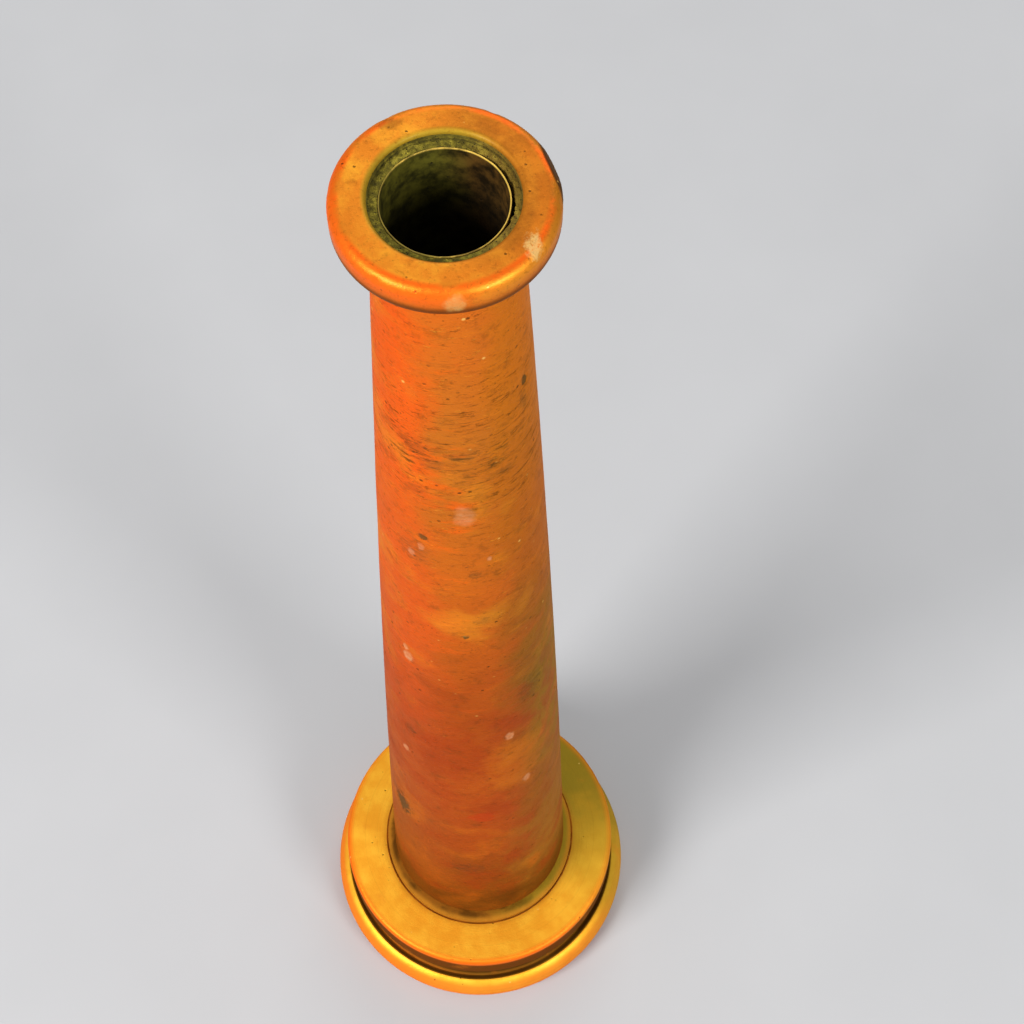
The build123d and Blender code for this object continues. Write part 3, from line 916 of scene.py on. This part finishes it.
def make_barrel():
    """Tapered barrel with its ledge round the sleeve, its waterway and the spigot's seat."""
    outline = Outline(FOOT_RADIUS, BARREL_FOOT)
    outline.curve(barrel_side, BARREL_FOOT, BEAD_BOTTOM, 1.2 * MM)
    outline.line(TIP_SEAT_RADIUS, BEAD_BOTTOM)
    outline.line(TIP_SEAT_RADIUS, BARREL_TOP, 1.2 * MM)
    outline.line(SLEEVE_RADIUS, BARREL_TOP, 0.09 * MM, finish=LEDGE)
    outline.line(SLEEVE_RADIUS, BARREL_TOP - 1.6 * MM, 0.2 * MM, finish=LEDGE)
    outline.line(SLEEVE_RADIUS, SLEEVE_BOTTOM, 9 * MM, finish=WATERWAY)
    outline.line(OUTLET_RADIUS, SLEEVE_BOTTOM, finish=WATERWAY)
    outline.line(TAIL_BORE_RADIUS, SPIGOT_TOP, 6 * MM, finish=WATERWAY)
    outline.line(SPIGOT_RADIUS, SPIGOT_TOP, finish=WATERWAY)
    outline.line(SPIGOT_RADIUS, BARREL_FOOT, 6 * MM, finish=WATERWAY)
    outline.line(FOOT_RADIUS, BARREL_FOOT, finish=WATERWAY)
    return turn_piece("barrel_shell", outline, [barrel_finish(), crust_finish(), bore_finish()],
                      "nozzle", "barrel", sectors=360, wear=barrel_wear)


# The flat that a knock has left on the bead's upper edge: its side, slant and place
FLAT_SIDE = radians(16)
FLAT_SLANT = radians(30)
FLAT_REACH = 10.5 * MM
BEAD_DINGS = (
    # azimuth, radius, size, depth
    (-38, 12.4, 1.6, 0.10),
    (-5, 12.9, 0.8, 0.12),
    (62, 12.7, 0.9, 0.08),
    (118, 12.6, 1.3, 0.06),
    (171, 12.8, 1.0, 0.05),
    (-128, 12.9, 0.7, 0.08),
)


def bead_wear(azimuth, radius, height, finish):
    """A slightly uneven bead with one flat, small dings, and a rough recess wall."""
    rim = 10.5 * MM
    outer = max(0.0, (radius - rim) / (BEAD_RADIUS - rim))
    radius -= 0.015 * MM * outer * (1 + ripple(azimuth, radius, height, 5 * MM, 2.0))
    if height > TOP - 3 * MM:
        facing = cos(turn_between(azimuth, FLAT_SIDE))
        proud = (radius * facing * cos(FLAT_SLANT) + (height - TOP) * sin(FLAT_SLANT)
                 - FLAT_REACH)
        if proud > 0:
            radius -= proud * cos(FLAT_SLANT)
            height -= proud * sin(FLAT_SLANT)
    for azimuth_deg, radius_mm, size_mm, depth_mm in BEAD_DINGS:
        across = turn_between(azimuth, radians(azimuth_deg)) * radius
        away = hypot(across, radius - radius_mm * MM, height - TOP + 0.8 * MM) / (size_mm * MM)
        depth = depth_mm * MM * max(0.0, 1 - away * away) ** 2
        radius -= 0.7 * depth
        height -= 0.7 * depth
    if finish == RECESS:
        radius -= 0.05 * MM * (0.5 + ripple(azimuth, radius, height, 0.6 * MM, 9.0))
    return radius, height


def make_tip_bead():
    """Ring with a rounded bead outside and the recess round the outlet inside."""
    top_round, bottom_round, lip_round = 1.4 * MM, 1.85 * MM, 0.6 * MM
    outline = Outline(TIP_SEAT_RADIUS, BEAD_BOTTOM)
    outline.line(TIP_SEAT_RADIUS, BARREL_TOP, 1 * MM, finish=RECESS)
    outline.line(TIP_SEAT_RADIUS, TOP - lip_round, 0.12 * MM, finish=RECESS)
    outline.corner((TIP_SEAT_RADIUS, TOP), (TIP_SEAT_RADIUS + lip_round, TOP), 8)
    outline.line(BEAD_RADIUS - top_round, TOP, 0.2 * MM)
    outline.corner((BEAD_RADIUS, TOP), (BEAD_RADIUS, TOP - top_round), 12)
    outline.line(BEAD_RADIUS, BEAD_BOTTOM + bottom_round, 0.2 * MM)
    outline.corner((BEAD_RADIUS, BEAD_BOTTOM), (BEAD_RADIUS - bottom_round, BEAD_BOTTOM), 12)
    outline.line(TIP_SEAT_RADIUS, BEAD_BOTTOM, 0.4 * MM)
    return turn_piece("tip_bead", outline, [bead_finish(), crust_finish()],
                      "nozzle", "tip_ring", sectors=360, wear=bead_wear)


RIM_WEAR = 0.32 * MM


def sleeve_wear(azimuth, radius, height, finish):
    """A rim worn thin from outside and slightly uneven along its top."""
    near_top = max(0.0, 1 - (SLEEVE_TOP - height) / (3 * MM))
    outside = max(0.0, (radius - OUTLET_RADIUS) / (SLEEVE_RADIUS - OUTLET_RADIUS))
    worn_thin = RIM_WEAR * outside * min(1.0, 1.6 * near_top)
    radius -= worn_thin + near_top * 0.03 * MM * ripple(azimuth, radius, height, 2 * MM, 3.0)
    height -= near_top ** 6 * 0.05 * MM * (1 + ripple(azimuth, radius, height, 0.5 * MM, 4.0))
    return radius, height


def make_sleeve():
    """Straight drawn tube with a rounded rim."""
    lip = 0.15 * MM
    outline = Outline(SLEEVE_RADIUS, SLEEVE_BOTTOM)
    outline.line(SLEEVE_RADIUS, SLEEVE_TOP - 3 * MM, 6 * MM)
    outline.line(SLEEVE_RADIUS, SLEEVE_TOP - lip, 0.3 * MM)
    outline.corner((SLEEVE_RADIUS, SLEEVE_TOP), (SLEEVE_RADIUS - lip, SLEEVE_TOP), 4)
    outline.line(OUTLET_RADIUS + lip, SLEEVE_TOP, 0.1 * MM)
    outline.corner((OUTLET_RADIUS, SLEEVE_TOP), (OUTLET_RADIUS, SLEEVE_TOP - lip), 4)
    outline.line(OUTLET_RADIUS, SLEEVE_TOP - 3 * MM, 0.3 * MM)
    outline.line(OUTLET_RADIUS, SLEEVE_BOTTOM, 6 * MM)
    outline.line(SLEEVE_RADIUS, SLEEVE_BOTTOM)
    return turn_piece("outlet_tube", outline, [sleeve_finish()],
                      "nozzle", "outlet_sleeve", wear=sleeve_wear)


def make_tail():
    """Tailpiece with its race, journal and cove."""
    mouth = 0.8 * MM
    race_opening = degrees(acos((RACE_PITCH_RADIUS - JOURNAL_RADIUS) / RACE_RADIUS))
    outline = Outline(TAIL_BORE_RADIUS, SPIGOT_TOP)
    outline.line(TAIL_BORE_RADIUS, TAIL_BOTTOM + mouth, 3 * MM, finish=TAIL_BORE)
    outline.line(TAIL_BORE_RADIUS + mouth, TAIL_BOTTOM, finish=TAIL_BORE)
    outline.line(JOURNAL_RADIUS, TAIL_BOTTOM)
    outline.arc((RACE_PITCH_RADIUS, BALL_HEIGHT), RACE_RADIUS,
                180 + race_opening, 180 - race_opening)
    outline.line(JOURNAL_RADIUS, COLLAR_HEIGHT, 0.5 * MM)
    cove_steps = 10
    for step in range(1, cove_steps + 1):
        turn = pi / 2 * step / cove_steps
        outline.line(JOURNAL_RADIUS - (JOURNAL_RADIUS - FOOT_RADIUS) * sin(turn),
                     COLLAR_HEIGHT + (BARREL_FOOT - COLLAR_HEIGHT) * (1 - cos(turn)))
    outline.line(SPIGOT_RADIUS, BARREL_FOOT)
    outline.line(SPIGOT_RADIUS, SPIGOT_TOP, 4 * MM)
    outline.line(TAIL_BORE_RADIUS, SPIGOT_TOP)
    return turn_piece("tail_collar", outline, [collar_finish(), bore_finish()],
                      "nozzle", "tailpiece")


def thread_radius(azimuth, height):
    """Inside of the coupling's mouth: right-handed 60 degree thread behind a lead-in cone."""
    half_root = THREAD_PITCH / 16
    flank_slope = 3 ** 0.5
    phase = (height / THREAD_PITCH - azimuth / (2 * pi)) % 1
    from_groove = abs(phase - 0.5) * THREAD_PITCH
    depth = THREAD_DEPTH - max(0.0, from_groove - half_root) * flank_slope
    return max(THREAD_MINOR_RADIUS + max(0.0, depth), LEAD_IN_RADIUS - height)


def coupling_wear(azimuth, radius, height, finish):
    """The thread, cut into the inside, and a slightly uneven outside."""
    if finish == THREAD and height < GASKET_BOTTOM - 0.05 * MM:
        return thread_radius(azimuth, height), height
    if radius > GROOVE_FLOOR_RADIUS:
        radius -= 0.03 * MM * (1 + ripple(azimuth, radius, height, 8 * MM, 6.0))
    return radius, height


def make_coupling():
    """Spool-shaped coupling: bead, finger groove and disc outside, thread and race inside."""
    bead_centre = BASE_RADIUS - BASE_BEAD_ROUND
    edge_deg = degrees(acos((GROOVE_EDGE_RADIUS - bead_centre) / BASE_BEAD_ROUND))
    groove_round, disc_round, bore_chamfer = 0.6 * MM, 0.9 * MM, 0.3 * MM
    race_opening = degrees(acos((SWIVEL_BORE_RADIUS - RACE_PITCH_RADIUS) / RACE_RADIUS))
    disc_low = GROOVE_HIGH + groove_round
    outline = Outline(LEAD_IN_RADIUS, 0)
    outline.line(bead_centre, 0, 0.7 * MM)
    outline.arc((bead_centre, BASE_BEAD_ROUND), BASE_BEAD_ROUND, -84, edge_deg, 40)
    outline.line(GROOVE_FLOOR_RADIUS + groove_round, GROOVE_LOW, 0.4 * MM)
    outline.corner((GROOVE_FLOOR_RADIUS, GROOVE_LOW),
                   (GROOVE_FLOOR_RADIUS, GROOVE_LOW + groove_round))
    outline.line(GROOVE_FLOOR_RADIUS, GROOVE_HIGH - groove_round, 0.5 * MM)
    outline.corner((GROOVE_FLOOR_RADIUS, GROOVE_HIGH),
                   (GROOVE_FLOOR_RADIUS + groove_round, GROOVE_HIGH))
    outline.corner((DISC_RADIUS, GROOVE_HIGH), (DISC_RADIUS, disc_low))
    outline.line(DISC_RADIUS, DISC_TOP - disc_round, 0.5 * MM)
    outline.corner((DISC_RADIUS, DISC_TOP), (DISC_RADIUS - disc_round, DISC_TOP), 10)
    outline.line(SWIVEL_BORE_RADIUS + bore_chamfer, DISC_TOP, 0.4 * MM)
    outline.line(SWIVEL_BORE_RADIUS, DISC_TOP - bore_chamfer, finish=THREAD)
    outline.arc((RACE_PITCH_RADIUS, BALL_HEIGHT), RACE_RADIUS,
                race_opening, -race_opening, finish=THREAD)
    outline.line(SWIVEL_BORE_RADIUS, GASKET_TOP, finish=THREAD)
    outline.line(GASKET_SEAT_RADIUS, GASKET_TOP, finish=THREAD)
    outline.line(GASKET_SEAT_RADIUS, GASKET_BOTTOM, finish=THREAD)
    outline.line(THREAD_MINOR_RADIUS, GASKET_BOTTOM, finish=THREAD)
    outline.line(LEAD_IN_RADIUS, 0, THREAD_PITCH / 20, finish=THREAD)
    return turn_piece("swivel_collar", outline, [coupling_finish(), thread_finish()],
                      "swivel", "swivel_coupling", sectors=360,
                      wear=coupling_wear)


def gasket_wear(azimuth, radius, height, finish):
    """The washer's inner edge bulges where the hose has squeezed it."""
    sag = 0.06 * MM * ripple(azimuth, radius, 0, 9 * MM, 8.0)
    middle = (GASKET_BOTTOM + GASKET_TOP) / 2
    if radius < (GASKET_INNER_RADIUS + GASKET_RADIUS) / 2:
        bulge = 1 - ((height - middle) / (GASKET_TOP - middle)) ** 2
        radius += sag - 0.15 * MM * bulge
    return radius, height


def make_gasket():
    """Flat washer with rounded edges."""
    edge = 0.45 * MM
    outline = Outline(GASKET_INNER_RADIUS + edge, GASKET_BOTTOM)
    outline.line(GASKET_RADIUS - edge, GASKET_BOTTOM, 0.8 * MM)
    outline.corner((GASKET_RADIUS, GASKET_BOTTOM), (GASKET_RADIUS, GASKET_BOTTOM + edge))
    outline.line(GASKET_RADIUS, GASKET_TOP - edge, 0.6 * MM)
    outline.corner((GASKET_RADIUS, GASKET_TOP), (GASKET_RADIUS - edge, GASKET_TOP))
    outline.line(GASKET_INNER_RADIUS + edge, GASKET_TOP, 0.8 * MM)
    outline.corner((GASKET_INNER_RADIUS, GASKET_TOP), (GASKET_INNER_RADIUS, GASKET_TOP - edge))
    outline.line(GASKET_INNER_RADIUS, GASKET_BOTTOM + edge, 0.4 * MM)
    outline.corner((GASKET_INNER_RADIUS, GASKET_BOTTOM),
                   (GASKET_INNER_RADIUS + edge, GASKET_BOTTOM))
    return turn_piece("hose_washer", outline, [gasket_finish()],
                      "swivel", "hose_gasket", wear=gasket_wear)


def finish_frame_pieces():
    """The screw and the balls keep their CAD shape and take their own finish."""
    screw, bronze = screw_finish(), ball_finish()
    for name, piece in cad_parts.items():
        if name == "ball_port_screw" or name.startswith("swivel_ball_"):
            finish = screw if name == "ball_port_screw" else bronze
            piece.data.materials.clear()
            piece.data.materials.append(finish)


# ======================================================================================
# Camera, floor and light
# ======================================================================================
# Metres from the nozzle's axis and from the floor, then angles in radians
CAMERA_BACK = 0.12396
CAMERA_HEIGHT = 0.42415
CAMERA_HEADING = 0.0588
CAMERA_TILT = 1.1073
CAMERA_ROLL = -0.0026
CAMERA_LENS_MM = 67.0
SENSOR_MM = 36.0


def place_camera():
    """Stand the camera in front of and above the nozzle, looking steeply down its barrel."""
    ahead = Vector((sin(CAMERA_HEADING) * cos(CAMERA_TILT),
                    cos(CAMERA_HEADING) * cos(CAMERA_TILT), -sin(CAMERA_TILT)))
    level = Vector((cos(CAMERA_HEADING), -sin(CAMERA_HEADING), 0))
    upward = level.cross(ahead)
    right = cos(CAMERA_ROLL) * level + sin(CAMERA_ROLL) * upward
    above = -sin(CAMERA_ROLL) * level + cos(CAMERA_ROLL) * upward
    lens = bpy.data.cameras.new("camera")
    lens.lens = CAMERA_LENS_MM
    lens.sensor_width = SENSOR_MM
    lens.clip_start = 0.01
    camera = bpy.data.objects.new("camera", lens)
    turn = Matrix((right, above, -ahead)).transposed().to_4x4()
    camera.matrix_world = Matrix.Translation((0, -CAMERA_BACK, CAMERA_HEIGHT)) @ turn
    bpy.context.scene.collection.objects.link(camera)
    bpy.context.scene.camera = camera


FLOOR_REACH = 3.0
AIR_COLOUR = (0.95, 0.97, 1.0, 1)
AIR_STRENGTH = 0.44
LAMPS = (
    # name, place in metres, size in metres, watts
    ("key_lamp", (-1.0, -0.7, 1.1), 0.6, 25),
    ("front_lamp", (0.8, -1.0, 0.9), 0.5, 12),
    ("back_lamp", (0.3, 1.1, 0.9), 0.9, 5),
)


def lay_floor():
    """Plain pale floor, far larger than the nozzle."""
    f = Finish("floor_paint")
    tone = f.clouds(0.05, 3.0)
    colour = f.mix(tone, (0.44, 0.44, 0.445), (0.48, 0.48, 0.485))
    paint = f.close(colour, 0.75 + 0.05 * tone, 0.0, tone, 0.0001, specular=0.2)
    mesh = bmesh.new()
    corners = [mesh.verts.new((x * FLOOR_REACH, y * FLOOR_REACH, 0))
               for x, y in ((-1, -1), (1, -1), (1, 1), (-1, 1))]
    mesh.faces.new(corners)
    data = bpy.data.meshes.new("floor")
    mesh.to_mesh(data)
    mesh.free()
    data.materials.append(paint)
    floor = bpy.data.objects.new("floor", data)
    bpy.context.scene.collection.objects.link(floor)


def hang_lamp(name, place, size, power):
    """A soft square lamp that faces the middle of the nozzle."""
    light = bpy.data.lights.new(name, "AREA")
    light.size = size
    light.energy = power
    lamp = bpy.data.objects.new(name, light)
    lamp.location = place
    aim = Vector((0, 0, TOP / 2)) - lamp.location
    lamp.rotation_euler = aim.to_track_quat("-Z", "Y").to_euler()
    bpy.context.scene.collection.objects.link(lamp)


def light_studio():
    """Even pale surroundings, a soft key lamp at the left, weaker ones at the right and back."""
    world = bpy.data.worlds.new("studio")
    world.use_nodes = True
    air = world.node_tree.nodes["Background"]
    air.inputs["Color"].default_value = AIR_COLOUR
    air.inputs["Strength"].default_value = AIR_STRENGTH
    bpy.context.scene.world = world
    for lamp in LAMPS:
        hang_lamp(*lamp)


place_camera()
bpy.context.scene.view_settings.view_transform = "Standard"
lay_floor()
light_studio()
make_barrel()
make_tip_bead()
make_sleeve()
make_tail()
make_coupling()
make_gasket()
finish_frame_pieces()
